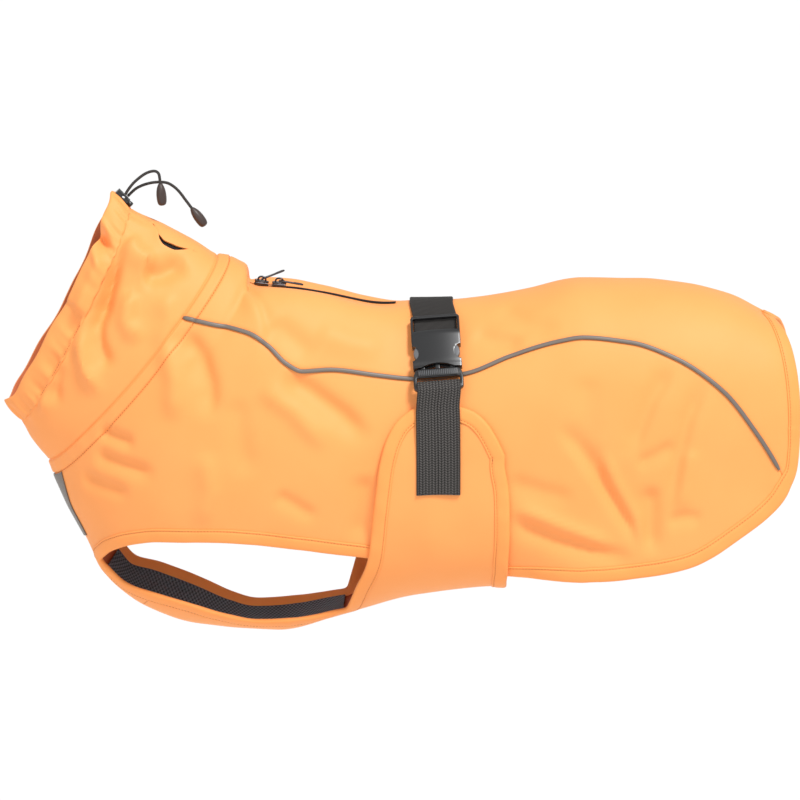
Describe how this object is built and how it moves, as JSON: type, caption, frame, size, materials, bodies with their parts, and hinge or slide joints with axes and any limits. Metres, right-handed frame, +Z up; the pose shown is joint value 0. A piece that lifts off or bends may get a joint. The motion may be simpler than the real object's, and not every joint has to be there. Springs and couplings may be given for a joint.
{
  "type": "dog raincoat",
  "caption": "Dog raincoat, filled out as worn, with a drawcord collar, back zip, grey piping and belly wings held by a webbing strap and buckle over the back.",
  "frame": {"origin": "the coat's inner face at the centre of the back, under the webbing strap, where the wearer's back holds it up", "axes": "+X from the head to the tail, +Y from the wearer's left to its right, +Z up"},
  "size_m": [0.7368, 0.2028, 0.4361],
  "materials": {
    "shell_cloth": "smooth coated rain cloth with a soft sheen",
    "lining_mesh": "dark ribbed mesh",
    "reflective_tape": "satin grey reflective fabric",
    "webbing": "coarse woven webbing",
    "buckle_plastic": "satin moulded plastic",
    "zip_tape": "woven zip tape with a nylon coil",
    "zip_metal": "dark gunmetal plating",
    "elastic_cord": "braided elastic cord with moulded ends"
  },
  "bodies": {
    "coat": {"back_yoke": "shell_cloth", "side_left": "shell_cloth", "side_right": "shell_cloth", "collar": "shell_cloth", "cord_casing": "shell_cloth", "belly_piece": "shell_cloth", "leg_binding_left": "shell_cloth", "leg_binding_right": "shell_cloth", "hem_binding_left": "shell_cloth", "hem_binding_right": "shell_cloth", "wing_binding_left": "shell_cloth", "wing_binding_right": "shell_cloth", "lining_belly": "lining_mesh", "lining_collar": "lining_mesh", "piping_left": "reflective_tape", "piping_right": "reflective_tape", "chest_strip": "reflective_tape", "strap_over": "webbing", "strap_lower": "webbing", "buckle_female": "buckle_plastic", "buckle_male": "buckle_plastic", "cord_lock": "buckle_plastic", "zip_tape": "zip_tape", "zip_coil": "zip_tape", "slider_front": "zip_metal", "slider_rear": "zip_metal", "cord_short": "elastic_cord", "cord_long": "elastic_cord", "cord_end_short": "elastic_cord", "cord_end_long": "elastic_cord"},
    "pull_front": {"pull_front": "zip_metal"},
    "pull_rear": {"pull_rear": "zip_metal"}
  },
  "joints": [
    {"name": "pull_front_hinge", "type": "hinge", "parent": "coat", "child": "pull_front", "pos_m": [-0.15753, 0, 0.02264], "axis": [0, -1, 0], "range_deg": [0, 80]},
    {"name": "pull_rear_hinge", "type": "hinge", "parent": "coat", "child": "pull_rear", "pos_m": [-0.14147, 0, 0.02103], "axis": [0, -1, 0], "range_deg": [0, 60]}
  ]
}
